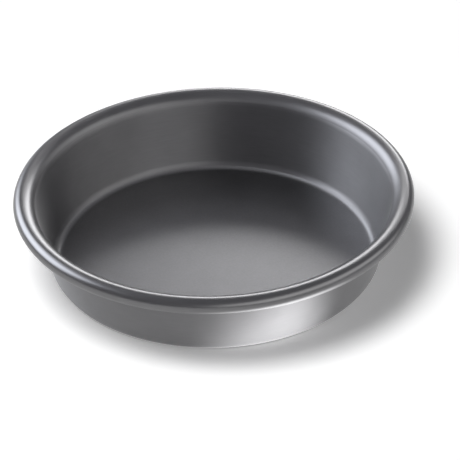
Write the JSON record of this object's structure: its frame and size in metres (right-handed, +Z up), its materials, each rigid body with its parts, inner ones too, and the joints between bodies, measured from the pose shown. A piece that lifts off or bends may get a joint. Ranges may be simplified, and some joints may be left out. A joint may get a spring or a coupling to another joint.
{
  "type": "deep dish pizza pan",
  "caption": "Round deep dish pizza pan in dark satin anodised sheet, with a flat floor, a tapered wall and a rim rolled round a stiffening rod.",
  "frame": {"origin": "centre of the flat base, on the surface that the pan stands on", "axes": "+Z up along the pan's axis of turning, +X and +Y any two directions square to it and to each other"},
  "size_m": [0.258, 0.258, 0.0524],
  "materials": {
    "anodised_aluminium": "dark grey hard-anodised, satin, with faint turning marks",
    "bright_steel": "plain drawn rod, hidden inside the rim"
  },
  "bodies": {
    "root": {"pan_shell": "anodised_aluminium", "rim_rod": "bright_steel"}
  },
  "joints": []
}
